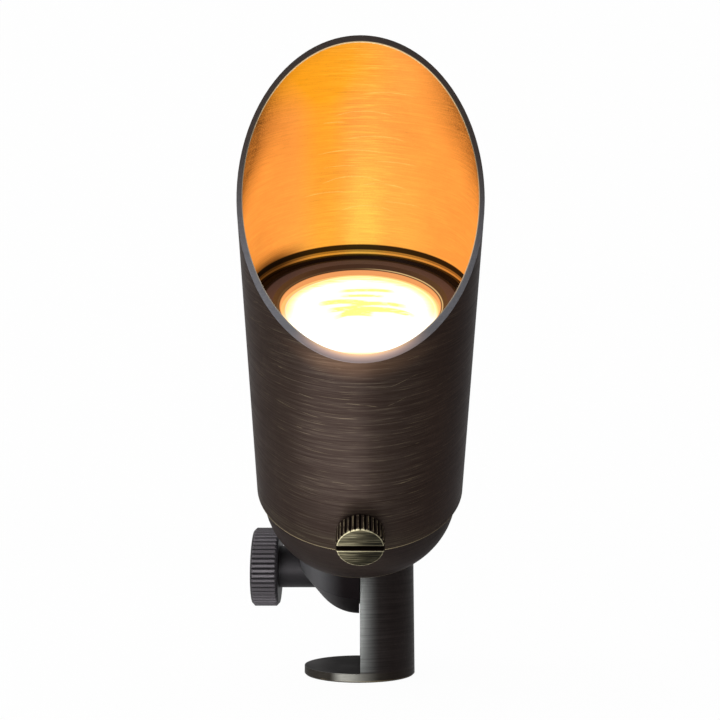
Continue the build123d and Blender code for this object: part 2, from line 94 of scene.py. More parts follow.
SHROUD = to_head(node_points("shroud"))
SHROUD_LOW = SHROUD[:, 2].min()
SHROUD_TALL = SHROUD[:, 2].max()
SHROUD_SHORT = SHROUD[SHROUD[:, 1] < SHROUD[:, 1].min() + 0.01][:, 2].max()
SHROUD_RADIUS = SHROUD[:, 0].max()
SHROUD_BORE = radii(SHROUD).min()
SLANT = atan2(SHROUD_TALL - SHROUD_SHORT, 2 * SHROUD_RADIUS)
SLANT_MIDDLE = (SHROUD_TALL + SHROUD_SHORT) / 2
HOUSING = to_head(node_points("housing"))
HOUSING_TOP = HOUSING[:, 2].max()
HOUSING_RADIUS = radii(HOUSING).max()
SHOULDER = 20.0         # the milled step over the housing's tail, above the pivot
SHOULDER_RADIUS = radii(HOUSING)[np.abs(HOUSING[:, 2] - SHOULDER) < 0.05].max()
LENS_TOP = to_head(node_points("lens"))[:, 2].max()
RETAINER_BORE = radii(to_head(node_points("lens_retainer"))).min()
SCREW = to_head(node_points("shroud_screw"))
SCREW_CENTRE = (SCREW[:, 2].max() + SCREW[:, 2].min()) / 2
SCREW_RADIUS = SCREW[:, 0].max()
SCREW_FACE = -SCREW[:, 1].min()
SCREW_TEETH = 30
RIB_START = 0.92        # where the first rib stands, in ribs from the top
KNOB_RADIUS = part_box("clamp_knob")[1].y / MM
STEM_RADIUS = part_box("knuckle_stem")[1].x / MM
FOOT_TOP = 2.6          # thickness of the foot's plate


# Settings ----------------------------------------------------------------------------------

def colour(name, default, description):
    """A colour setting."""
    return bpy.props.FloatVectorProperty(name=name, description=description, default=default,
                                         size=3, min=0.0, max=1.0, subtype="COLOR")


def number(name, default, description, **limits):
    """A number setting, at least 0 where its limits don't say otherwise."""
    return bpy.props.FloatProperty(name=name, description=description, default=default,
                                   **{"min": 0.0, **limits})


METRES = {"unit": "LENGTH", "precision": 5}
WATTS = {"unit": "POWER"}


class SpotlightBronze(bpy.types.PropertyGroup):
    """Colours of the bronzed brass, and of the light and shade painted on some of its parts."""
    patina_dark: colour("Patina, dark", (0.016, 0.0085, 0.006), "Darkest tone of the patina")
    patina_light: colour("Patina, light", (0.042, 0.030, 0.024), "Lightest tone of the patina")
    dome_dark: colour("Housing", (0.017, 0.012, 0.011), "Smooth lower end of the housing")
    stem_tone: colour("Stem", (0.034, 0.029, 0.028), "Stem and foot")
    knob_tone: colour("Knob", (0.080, 0.073, 0.080), "Clamp knob")
    olive: colour("Thumbscrew", (0.085, 0.075, 0.045), "Olive bronze of the thumbscrew")
    worn: colour("Worn edge", (0.56, 0.46, 0.27), "Bare brass where an edge is worn bright")
    cut_face: colour("Cut face", (0.120, 0.119, 0.130), "Grey of the shroud's cut rim")
    # Painted shade down the shroud's right side
    shaded: colour("Shroud, right", (0.018, 0.006, 0.002), "Warm dark tone down the shroud's right side")
    warmed: colour("Shroud, mouth", (0.120, 0.066, 0.038), "Warm tone under the low side of the mouth")
    # Painted shade and painted light on the housing's tail: dark on the right by the stem, grey on the left
    tail_shade: colour("Tail, dark", (0.006, 0.004, 0.005), "Flat side of the housing's tail")
    tail_lit: colour("Tail, grey", (0.105, 0.105, 0.110), "Round side of the housing's tail")
    stem_shade: colour("Stem, right", (0.013, 0.007, 0.006), "Dark right side of the stem")
    stem_edge_highlight: colour("Stem, edge", (0.36, 0.375, 0.365), "Grey sheen along the stem's flat edge")
    # Painted highlight on the front of the foot's edge
    foot_highlight: colour("Foot, bare", (0.62, 0.61, 0.55), "Bare patch on the foot's edge")
    screw_bare: colour("Thumbscrew, bare", (0.66, 0.64, 0.44), "Paler bare brass of the thumbscrew")
    brush_depth: number("Brush depth", 0.00004, "Height of the brush lines", **METRES)
    worn_width: number("Worn width", 0.00028, "Width of the bright line along an edge", **METRES)


class SpotlightGlow(bpy.types.PropertyGroup):
    """Colours of the lamp's light, and of the wall, mouth and lens ring that it falls on, painted on as
    glow.
    """
    white: colour("Core", (1.0, 1.0, 0.97), "Middle of the lens")
    yellow: colour("Inner edge", (1.0, 0.80, 0.30), "Ring of yellow near the lens edge")
    amber: colour("Outer edge", (0.85, 0.40, 0.10), "Amber at the lens edge")
    phosphor: colour("Phosphor", (0.76, 0.90, 0.13), "Arcs of the lamp's chips in the lens")
    wall: colour("Wall", (0.925, 0.315, 0.050), "Lit brass of the shroud's inner wall")
    wall_hot: colour("Wall, bright", (0.96, 0.53, 0.075), "Brightest stretch of the lit wall")
    wall_deep: colour("Wall, deep", (0.95, 0.36, 0.004), "Deep yellow stretch of the wall")
    wall_scratch: colour("Wall, scratches", (1.0, 0.64, 0.15), "Long scratches in the lit wall")
    lip_outer: colour("Lip, outside", (0.47, 0.28, 0.215), "Outer side of the lit low lip")
    lip_inner: colour("Lip, inside", (0.90, 0.50, 0.22), "Inner side of the lit low lip")
    edge_light: colour("Mouth's edge", (0.90, 0.55, 0.24), "Light along the mouth's inner edge")
    # The lens ring's colours are its lamplight painted on as glow; the groove's is painted shade
    ring_flat: colour("Ring, flat", (0.050, 0.027, 0.022), "Flat of the lens ring")
    ring_groove: colour("Ring, groove", (0.006, 0.003, 0.002), "Groove round the lens ring")
    bevel_back: colour("Ring, bevel", (0.026, 0.010, 0.005), "Bevel of the lens ring at the back")
    bevel_side: colour("Ring, bevel side", (0.052, 0.025, 0.011), "Bevel of the lens ring at the sides")
    ring_line: colour("Ring, line", (1.0, 0.68, 0.30), "Bright line at the bevel's foot")
    ring_bore: colour("Ring, bore", (0.84, 0.32, 0.10), "Bore of the lens ring")
    ring_glare: colour("Ring, glare", (1.0, 0.62, 0.26), "Warm edge of the glare at the front")
    lens_strength: number("Lens strength", 1.0, "Radiance of the lens", max=50.0)


class SpotlightStage(bpy.types.PropertyGroup):
    """Camera, floor and lights."""
    camera_place: bpy.props.FloatVectorProperty(name="Camera", description="Where the camera stands",
                                                default=(-0.00087, -0.2940, 0.0509), size=3,
                                                subtype="TRANSLATION", unit="LENGTH")
    camera_aim: bpy.props.FloatVectorProperty(name="Aim", description="Which way the camera looks",
                                              default=(0.0033, 0.984, 0.178), size=3,
                                              subtype="DIRECTION")
    focal_length: number("Focal length", 42.75, "Lens on a 36 mm sensor, in mm", min=1.0)
    floor_half: number("Floor", 3.0, "Half the width of the floor sheet", **METRES)
    key_power: number("Key", 3.0, "Soft box beside the camera", **WATTS)
    side_power: number("Side", 4.0, "Soft box at the left", **WATTS)
    near_power: number("Near panel", 0.080, "Panel on the floor by the foot", **WATTS)
    far_power: number("Far panel", 0.34, "Panel on the floor by the camera", **WATTS)
    mirror_share: number("Mirrored white", 0.50, "How much of the white background metal and glass show",
                         max=1.0, subtype="FACTOR")


# Shader maths ------------------------------------------------------------------------------

class Wire:
    """A node's output that can stand in sums: each + - * / adds a Math node."""

    def __init__(self, tree, socket):
        self.tree = tree
        self.socket = socket

    def math(self, operation, other=None, flip=False):
        """A Math node on this value and another."""
        values = [self] if other is None else [self, other]
        if flip:
            values.reverse()
        return self.tree.add("ShaderNodeMath", {"operation": operation}, dict(enumerate(values)))

    def __add__(self, other):
        return self.math("ADD", other)

    def __sub__(self, other):
        return self.math("SUBTRACT", other)

    def __rsub__(self, other):
        return self.math("SUBTRACT", other, flip=True)

    def __mul__(self, other):
        return self.math("MULTIPLY", other)

    def __truediv__(self, other):
        return self.math("DIVIDE", other)

    def __abs__(self):
        return self.math("ABSOLUTE")

    __radd__ = __add__
    __rmul__ = __mul__


class Finish:
    """The node tree of one finish, with a method for each kind of step."""

    def __init__(self, tree):
        self.tree = tree
        tree.nodes.clear()

    def add(self, kind, settings=None, inputs=None, out=0):
        """Adds a node, sets it up, fills its sockets and hands back one output."""
        node = self.tree.nodes.new(kind)
        for name, value in (settings or {}).items():
            setattr(node, name, value)
        for key, value in (inputs or {}).items():
            if isinstance(value, Wire):
                self.tree.links.new(value.socket, node.inputs[key])
            elif node.inputs[key].type == "RGBA" and len(value) == 3:
                node.inputs[key].default_value = (*value, 1.0)
            else:
                node.inputs[key].default_value = value
        return Wire(self, node.outputs[out])

    def space(self, origin, tilt):
        """Object coordinates in millimetres from an origin, turned about X."""
        coordinates = self.add("ShaderNodeTexCoord", out="Object")
        return self.add("ShaderNodeMapping", {"vector_type": "TEXTURE"},
                        {"Vector": coordinates, "Location": origin, "Rotation": (tilt, 0, 0),
                         "Scale": (MM, MM, MM)})

    def head(self):
        """Head-frame millimetres."""
        return self.space(PIVOT, TILT)

    def row(self):
        """Row-frame millimetres."""
        return self.space((0, 0, 0), 0)

    def split(self, vector):
        """The X, Y and Z of a vector."""
        node = self.add("ShaderNodeSeparateXYZ", None, {0: vector}).socket.node
        return [Wire(self, output) for output in node.outputs]

    def join(self, x, y, z):
        """A vector from three values."""
        return self.add("ShaderNodeCombineXYZ", None, {0: x, 1: y, 2: z})

    def stretch(self, vector, scale):
        """A vector multiplied axis by axis."""
        return self.add("ShaderNodeVectorMath", {"operation": "MULTIPLY"}, {0: vector, 1: scale})

    def distance(self, a, b):
        """Length of the hypotenuse of two values."""
        return (a * a + b * b).math("SQRT")

    def ramp(self, value, low, high, start=0.0, end=1.0):
        """A smooth step from start to end as the value goes from low to high."""
        return self.add("ShaderNodeMapRange", {"interpolation_type": "SMOOTHSTEP"},
                        {0: value, 1: low, 2: high, 3: start, 4: end})

    def stripe(self, value, low, high, soft):
        """1 between low and high, with soft sides."""
        rise = self.ramp(value, low - soft, low + soft)
        return rise * self.ramp(value, high - soft, high + soft, 1.0, 0.0)

    def noise(self, vector, scale, detail=3.0, roughness=0.5, distortion=0.0):
        """Noise from 0 to 1."""
        return self.add("ShaderNodeTexNoise", None,
                        {"Vector": vector, "Scale": scale, "Detail": detail, "Roughness": roughness,
                         "Distortion": distortion})

    def mix(self, factor, a, b):
        """One colour laid over another."""
        return self.add("ShaderNodeMix", {"data_type": "RGBA"}, {0: factor, 6: a, 7: b}, out=2)

    def scale_colour(self, tone, factor):
        """A colour made brighter or darker by a value."""
        if not isinstance(tone, Wire) and not isinstance(factor, Wire):
            return tuple(channel * factor for channel in tone)
        return self.add("ShaderNodeVectorMath", {"operation": "SCALE"}, {0: tone, 3: factor})

    def add_colour(self, a, b):
        """The sum of two colours."""
        return self.add("ShaderNodeVectorMath", {"operation": "ADD"}, {0: a, 1: b})

    def bump(self, height, depth):
        """A normal from a height of 0 to 1, deep at most depth metres."""
        return self.add("ShaderNodeBump", None, {"Strength": 1.0, "Distance": depth, "Height": height})

    def surface(self, **sockets):
        """The Principled shader and the material's output."""
        inputs = {name.replace("_", " "): value for name, value in sockets.items()}
        shader = self.add("ShaderNodeBsdfPrincipled", None, inputs)
        self.add_output(shader)

    def add_output(self, shader, kind="ShaderNodeOutputMaterial"):
        """Ends the tree in an output node."""
        output = self.tree.nodes.new(kind)
        self.tree.links.new(shader.socket, output.inputs["Surface"])


def new_finish(name):
    """A material and its empty tree."""
    material = bpy.data.materials.new(name)
    material.use_nodes = True
    return material, Finish(material.node_tree)


def dress(node, material):
    """Gives a CAD node a finish."""
    thing = frame["nodes"][node]
    if not thing.data.materials:
        thing.data.materials.append(material)
    for slot in thing.material_slots:
        slot.material = material


# Finishes ----------------------------------------------------------------------------------

BRONZE_SHEEN = {"Specular_IOR_Level": 0.25, "Specular_Tint": (0.45, 0.42, 0.42)}
GLARE = (1.4, 1.4, 1.35)        # a little over white
NYLON = (0.80, 0.77, 0.70)


def brush_lines(tree, place, coarse_steps, fine_steps):
    """Coarse and fine noise drawn out along a brush stroke; steps are per millimetre, axis by axis."""
    coarse = tree.noise(tree.stretch(place, coarse_steps), 1.0, 4.0, 0.65)
    fine = tree.noise(tree.stretch(place, fine_steps), 1.0, 2.0, 0.5)
    return coarse, fine


def above_mouth(y, z):
    """Height over the slanting cut, square to it."""
    return (z - SLANT_MIDDLE) * cos(SLANT) - y * sin(SLANT)


def scratches(tree, place, spacing, seed, width):
    """Thin level lines that wander a little, shown only where a slow noise is high."""
    z = tree.split(place)[2]
    wander = tree.noise(tree.stretch(place, (0.05, 0.05, 0.02)), 1.0, 1.0)
    height = z + wander * 9.0 + seed
    middle = abs((height / spacing).math("FRACT") - 0.5) * spacing
    shown = tree.ramp(tree.noise(tree.stretch(place, (0.07, 0.07, 0.11)), 1.0, 1.0, 0.5, seed), 0.56, 0.66)
    return tree.ramp(middle, width, 0.0) * shown


def arc_mark(tree, across, up, mark, soft):
    """One drawn-out arc: mark holds its middle (across, up), its droop, half length and half width.

    It lies where up is within the half width of middle - droop * (across - middle)**2.
    """
    centre, level, droop, reach, width = mark
    offset = across - centre
    gap = abs(up - level + offset * offset * droop)
    return tree.ramp(gap, width + soft, width) * tree.ramp(abs(offset), reach, reach * 0.55)


def arc_marks(tree, across, up, marks, soft):
    """The sum of several arcs."""
    total = arc_mark(tree, across, up, marks[0], soft)
    for mark in marks[1:]:
        total = total + arc_mark(tree, across, up, mark, soft)
    return total


# Each arc: across, up, droop, half length and half width
WALL_ARCS = ((1.3, 143.2, 0.016, 9.5, 0.06), (4.5, 136.2, 0.012, 9.0, 0.06),
             (-2.5, 132.2, 0.009, 11.0, 0.06), (-2.0, 124.4, 0.020, 10.5, 0.05),
             (6.5, 122.3, 0.018, 7.5, 0.06), (2.0, 115.4, 0.022, 9.5, 0.05),
             (-7.5, 140.3, 0.010, 3.5, 0.05), (8.0, 148.5, 0.010, 8.0, 0.04),
             (-5.5, 127.6, 0.014, 6.0, 0.04), (10.0, 129.0, 0.006, 6.5, 0.04),
             (-10.0, 120.0, 0.010, 7.0, 0.04), (12.0, 117.0, 0.004, 6.0, 0.04))
LENS_ARCS = ((-4.0, 4.2, 0.030, 9.0, 0.8), (4.5, 3.0, 0.030, 9.5, 0.5), (-1.0, -0.2, 0.020, 9.0, 0.8),
             (4.5, -0.6, 0.040, 13.0, 0.8), (-0.8, -3.0, 0.030, 5.0, 0.9), (2.0, 11.6, 0.015, 9.0, 0.3),
             (0.5, 8.0, 0.012, 7.0, 0.2))
# Dark lines on the wall, by height over the housing: low, high, softness and darkness
RING_SHADOWS = ((1.45, 3.25, 0.22, 0.965), (0.80, 1.60, 0.12, 0.55), (-0.70, 0.18, 0.13, 0.90))


def wall_light(tree, place, glow):
    """Colour, level and relief of the lamplit inner wall of the shroud.

    A bright yellow column up the middle, a deeper yellow one left of it, painted shade at both
    shoulders of the mouth, fine level brush lines, a few long arcs scratched by hand, and the dark
    lines that the housing's rim shades at the foot of it all.
    """
    x, y, z = tree.split(place)
    above_cut = above_mouth(y, z)
    rise = z - HOUSING_TOP
    lines = tree.noise(tree.stretch(place, (0.085, 0.085, 3.4)), 1.0, 4.0, 0.70, 0.25)
    threads = tree.noise(tree.stretch(place, (0.16, 0.16, 6.0)), 1.0, 3.0, 0.7)
    blotch = tree.noise(tree.stretch(place, (0.06, 0.06, 0.05)), 1.0, 4.0, 0.6, 0.4)
    speck = tree.noise(place, 2.6, 2.0, 0.7)
    middle = tree.ramp(abs(x), 17.0, 1.0)
    column = tree.ramp(abs(x - 1.0 + (blotch - 0.5) * 6.0), 9.0, 0.0) * tree.ramp(rise, 50.0, 4.0)
    column = column * (0.55 + speck * 0.9)
    deep = tree.stripe(x, -15.0, -5.0, 4.5) * tree.ramp(rise, 8.0, 50.0, 0.45, 0.75)
    top = tree.ramp(x, 13.0, -5.0) * tree.ramp(rise, 42.0, 56.0)
    broad = tree.ramp(abs(x), 27.0, 12.0) * tree.ramp(rise, 42.0, 6.0) * 0.38
    lit = tree.mix((column * 0.75 + broad).math("MINIMUM", 1.0), glow.wall, glow.wall_hot)
    lit = tree.mix((deep + top).math("MINIMUM", 1.0), lit, glow.wall_deep)
    strokes = tree.ramp(lines + threads * 0.7, 0.84, 1.08) * (middle * 0.55 + 0.10)
    lit = tree.mix(strokes, lit, tree.mix(deep, glow.wall_hot, glow.wall_deep))
    # Painted shade at both shoulders of the mouth
    shoulder_shade = tree.ramp(abs(x + 1.5), 15.0, 28.0) * tree.ramp(above_cut, -13.0, -0.5)
    shoulder_shade = shoulder_shade * tree.ramp(rise, 17.0, 36.0) * tree.ramp(x, -5.0, 5.0, 0.72, 0.50)
    shoulder_shade = shoulder_shade * (0.45 + blotch * 1.1)
    hair = tree.ramp(above_cut, -9.0, -1.0) * tree.ramp(abs(x), 18.0, 27.0) * (speck - 0.5) * 0.55
    grain = (lines - 0.5) * (0.42 + middle * 0.26) + (threads - 0.5) * (0.40 + middle * 0.30) + 0.93
    level = grain + (blotch - 0.5) * 0.32 + (speck - 0.5) * 0.22 - shoulder_shade.math("MINIMUM", 0.62) + hair
    level = level * tree.ramp(above_cut, -2.6, -0.2, 1.0, 0.86) * tree.ramp(rise, 24.0, 50.0, 1.0, 0.93)
    arcs = arc_marks(tree, x, z + (lines - 0.5) * 0.5, WALL_ARCS, 0.13)
    arcs = arcs * tree.ramp(lines + speck * 0.5, 0.45, 0.80)
    lit = tree.mix((arcs * 0.55).math("MINIMUM", 1.0), lit, glow.wall_scratch)
    foot_shade = tree.ramp(rise, 8.0, 2.8) * tree.ramp(x, -12.0, -25.0) * 0.80
    level = level * (1.0 - foot_shade) * (1.0 - tree.ramp(rise, 1.5, 0.9) * 0.30)
    for low, high, soft, darkness in RING_SHADOWS:
        level = level * (1.0 - tree.stripe(rise, low, high, soft) * darkness)
    height = lines * 0.6 + threads * 0.4 + arcs * 0.5
    return lit, level, height


def shroud_finish(bronze, glow):
    """Brushed patina outside, painted glints at the front and painted shade down the right, grey cut rim,
    worn edges, and lit amber brass inside.
    """
    material, tree = new_finish("shroud_bronze")
    place = tree.head()
    x, y, z = tree.split(place)
    radius = tree.distance(x, y)
    inside = tree.ramp(radius, SHROUD_BORE + 0.5, SHROUD_BORE + 0.3)
    above_cut = above_mouth(y, z)
    on_cut = tree.ramp(above_cut, -0.09, -0.05)
    above_foot = z - SHROUD_LOW
    width = bronze.worn_width / MM
    # outside
    coarse, fine = brush_lines(tree, place, (0.045, 0.045, 2.1), (0.12, 0.12, 6.5))
    cloud = tree.noise(tree.stretch(place, (0.05, 0.05, 0.03)), 1.0, 3.0, 0.6)
    line = coarse * 0.62 + fine * 0.38
    tone = tree.ramp(line + (cloud - 0.5) * 0.25, 0.25, 0.80)
    patina = tree.mix(tone, bronze.patina_dark, bronze.patina_light)
    strokes = scratches(tree, place, 5.3, 2.0, 0.07)
    glint = tree.ramp(fine + coarse * 0.4, 0.80, 0.98) * tree.ramp(y, -8.0, -24.0)
    patina = tree.mix(strokes * 0.22 + glint * 0.10, patina, bronze.worn)
    foot_edge = tree.ramp(above_foot + (coarse - 0.5) * width, 2.6 * width, 0.8 * width)
    foot_band = tree.ramp(above_foot, 8.5, 0.4) * tree.ramp(line, 0.40, 0.62)
    patina = tree.mix(foot_band * 0.30, patina, tree.scale_colour(bronze.olive, 0.9))
    # Painted shade down the right side
    right = tree.ramp(x, 9.0, 24.0) * 0.55
    patina = tree.mix(right, patina, tree.scale_colour(bronze.shaded, 0.5 + tone))
    # Worn bright line along the lower edge, dimmed towards the right by painted shade
    patina = tree.mix(foot_edge * tree.ramp(x, 9.0, 20.0, 0.90, 0.45), patina, bronze.worn)
    warm = tree.ramp(above_cut, -4.5, -0.1) * tree.ramp(z, SHROUD_SHORT + 5.0, SHROUD_SHORT - 2.0)
    patina = tree.mix(warm * (0.20 + line * 0.6), patina, bronze.warmed)
    # cut rim
    height_share = tree.ramp(z, SHROUD_SHORT + 14.0, SHROUD_TALL - 20.0)
    cut = tree.mix(height_share * 0.90, bronze.cut_face, bronze.patina_light)
    cut = tree.scale_colour(cut, 0.85 + fine * 0.30)
    inner_edge = tree.ramp(radius, SHROUD_BORE + 1.1 * width, SHROUD_BORE)
    edge_wear = inner_edge * tree.ramp(z, SLANT_MIDDLE, SHROUD_TALL - 6.0, 0.25, 0.9)
    cut = tree.mix(edge_wear, cut, bronze.worn)
    # inside
    lit, level, swirl = wall_light(tree, place, glow)
    wall_glow = tree.scale_colour(lit, level * inside)
    low_lip = tree.ramp(z, SHROUD_SHORT + 6.5, SHROUD_SHORT + 0.5)
    lip = tree.mix(tree.ramp(radius, SHROUD_BORE + 0.8, SHROUD_BORE), glow.lip_outer, glow.lip_inner)
    lip_level = low_lip * tree.ramp(radius, SHROUD_RADIUS, SHROUD_BORE + 0.4, 0.30, 1.0)
    lip_glow = tree.scale_colour(lip, lip_level)
    edge_line = tree.stripe(z, SHROUD_SHORT + 14.0, SLANT_MIDDLE + 4.0, 6.0)
    edge_line = edge_line * tree.ramp(x, 0.0, 20.0, 0.10, 0.55)
    top_line = tree.ramp(z, SLANT_MIDDLE + 8.0, SHROUD_TALL - 4.0) * 0.55
    edge_glow = tree.scale_colour(glow.edge_light, inner_edge * (edge_line + top_line))
    rim_glow = tree.add_colour(lip_glow, edge_glow)
    wall_base = tree.scale_colour(glow.wall, tree.ramp(level, 0.05, 0.60) * 0.22)
    outside_look = tree.mix(on_cut, patina, cut)
    base = tree.mix(inside * (1.0 - on_cut), outside_look, wall_base)
    emission = tree.mix(on_cut, wall_glow, rim_glow)
    rough = 0.34 + (1.0 - tone) * 0.12 + inside * 0.14
    relief = line * (1.0 - inside) + swirl * inside - strokes * 0.3
    tree.surface(Base_Color=base, Metallic=0.55, Roughness=rough, **BRONZE_SHEEN,
                 Emission_Color=emission, Emission_Strength=1.0,
                 Normal=tree.bump(relief, bronze.brush_depth))
    return material


def housing_finish(bronze, glow):
    """Smooth turned bronze, finely brushed round the axis, with painted light and shade on its tail; its
    dark top rim is lit at the front.
    """
    material, tree = new_finish("housing_bronze")
    place = tree.head()
    x, y, z = tree.split(place)
    radius = tree.distance(x, y)
    coarse, fine = brush_lines(tree, place, (0.04, 0.04, 1.6), (0.1, 0.1, 6.0))
    cloud = tree.noise(place, 0.06, 3.0, 0.6)
    grain = coarse * 0.35 + fine * 0.25 + cloud * 0.40
    tone = tree.ramp(grain, 0.32, 0.75)
    patina = tree.mix(tone, bronze.dome_dark, tree.scale_colour(bronze.patina_light, 0.8))
    tail = tree.ramp(z, SHOULDER, SHOULDER - 2.0)
    # Painted light on the tail's left side, turning to painted shade towards the stem
    grey = tree.ramp(x, -4.5, -15.0)
    smooth = tree.mix(grey, bronze.tail_shade, bronze.tail_lit)
    patina = tree.mix(tail * 0.92, patina, tree.scale_colour(smooth, 0.85 + cloud * 0.3))
    rim = tree.stripe(z, SHOULDER - 0.05, SHOULDER + 0.25, 0.08)
    rim = rim * tree.ramp(radius, SHOULDER_RADIUS - 0.5, SHOULDER_RADIUS - 0.15)
    patina = tree.mix(rim * 0.3, patina, bronze.worn)
    top = tree.ramp(z, HOUSING_TOP - 1.0, HOUSING_TOP - 0.6)
    patina = tree.mix(top, patina, tree.scale_colour(bronze.patina_dark, 0.5))
    front = tree.ramp(y, -15.0, -24.0) * tree.ramp(z, HOUSING_TOP - 1.2, HOUSING_TOP - 0.7)
    lit = tree.mix(tree.ramp(radius, HOUSING_RADIUS - 0.5, HOUSING_RADIUS + 0.2), glow.white, glow.yellow)
    emission = tree.scale_colour(lit, front * 1.3)
    tree.surface(Base_Color=patina, Metallic=0.5, Roughness=0.42 + (1.0 - tone) * 0.12, **BRONZE_SHEEN,
                 Emission_Color=emission, Emission_Strength=1.0,
                 Normal=tree.bump(coarse * 0.5 + fine * 0.5, bronze.brush_depth * 0.5))
    return material


def retainer_finish(bronze, glow):
    """Turned ring with its lamplight painted on as glow: black outer groove, brown flat and bevel, amber
    bore, white glare at the front.
    """
    material, tree = new_finish("retainer_bronze")
    place = tree.head()
    x, y = tree.split(place)[:2]
    radius = tree.distance(x, y)
    turning = tree.noise(tree.join(radius, 0.0, 0.0), 3.2, 4.0, 0.7)
    wear_and_light_noise = tree.noise(tree.stretch(place, (0.25, 0.25, 0.0)), 1.0, 4.0, 0.7)
    groove = tree.ramp(radius, RETAINER_BORE + 4.7, RETAINER_BORE + 5.1)
    bevel = tree.ramp(radius, RETAINER_BORE + 2.2, RETAINER_BORE + 1.9)
    bore = tree.ramp(radius, RETAINER_BORE + 0.35, RETAINER_BORE + 0.10)
    base = tree.mix(turning, bronze.patina_dark, bronze.patina_light)
    base = tree.mix(groove, base, tree.scale_colour(bronze.patina_dark, 0.4))
    glare = tree.ramp(y, -5.0, -15.0)
    front = tree.ramp(y, -10.0, -21.0)
    # Painted light: the bevel is brighter at the sides than at the back
    side = tree.ramp(abs(x), 9.0, 21.0)
    lit = tree.mix(groove, glow.ring_flat, glow.ring_groove)
    lit = tree.mix(bevel, lit, tree.mix(side, glow.bevel_back, glow.bevel_side))
    lit = tree.scale_colour(lit, 0.55 + turning * 0.55 + wear_and_light_noise * 0.35)
    # Painted highlight line at the bevel's foot, brighter to the right
    inner_line = tree.stripe(radius, RETAINER_BORE + 0.50, RETAINER_BORE + 0.75, 0.12)
    lit = tree.mix(inner_line * tree.ramp(x, -2.0, 12.0, 0.05, 0.75), lit, glow.ring_line)
    lit = tree.mix(bore, lit, glow.ring_bore)
    lit = tree.mix(glare * 0.9, lit, glow.ring_glare)
    emission = tree.mix(front, lit, GLARE)
    tree.surface(Base_Color=base, Metallic=0.5, Roughness=0.38, Specular_IOR_Level=0.3,
                 Emission_Color=emission, Emission_Strength=1.0,
                 Normal=tree.bump(turning, bronze.brush_depth))
    return material


def lens_finish(glow):
    """Lit lens: white core, yellow and amber at its far edge, arcs of the chips behind it."""
    material, tree = new_finish("lit_lens")
    place = tree.head()
    x, y, z = tree.split(place)
    radius = tree.distance(x, y)
    share_out = radius / RETAINER_BORE
    far = tree.ramp(y, -15.0, 1.0)
    ripple = tree.noise(tree.stretch(place, (0.35, 0.9, 0.0)), 1.0, 3.0, 0.6)
    streak = tree.noise(tree.stretch(place, (0.10, 1.3, 0.0)), 1.0, 3.0, 0.6)
    yellow = tree.ramp(share_out + (ripple - 0.5) * 0.05, 0.70, 0.96) * far
    amber = tree.ramp(share_out + tree.ramp(x, -4.0, -18.0) * 0.035, 0.955, 0.985) * far
    line = tree.stripe(share_out, 0.935, 0.945, 0.010) * far
    haze = tree.ramp(y, 7.0, 17.0) * tree.ramp(streak, 0.42, 0.66)
    pale = tree.add_colour(glow.yellow, (0.0, 0.08, 0.0))
    calm = tree.ramp(tree.distance(x - 1.0, y - 2.0), 17.0, 11.0)
    core = tree.scale_colour(glow.white, 1.7 - calm * 0.65)
    tone = tree.mix((yellow + haze * 0.35).math("MINIMUM", 1.0), core, pale)
    tone = tree.mix(amber * 0.8, tone, glow.amber)
    tone = tree.mix(line * 0.6, tone, glow.white)
    arcs = arc_marks(tree, x, y, LENS_ARCS, 1.1) * tree.ramp(ripple + streak * 0.4, 0.42, 0.75, 0.15, 1.0)
    tone = tree.mix(arcs.math("MINIMUM", 0.9), tone, glow.phosphor)
    top = tree.ramp(z, LENS_TOP - 0.6, LENS_TOP - 0.3)
    emission = tree.scale_colour(tone, top)
    tree.surface(Base_Color=(0.10, 0.10, 0.095), Roughness=0.08, Coat_Weight=0.3,
                 Emission_Color=emission, Emission_Strength=glow.lens_strength,
                 Normal=tree.bump(ripple, 0.00002))
    return material


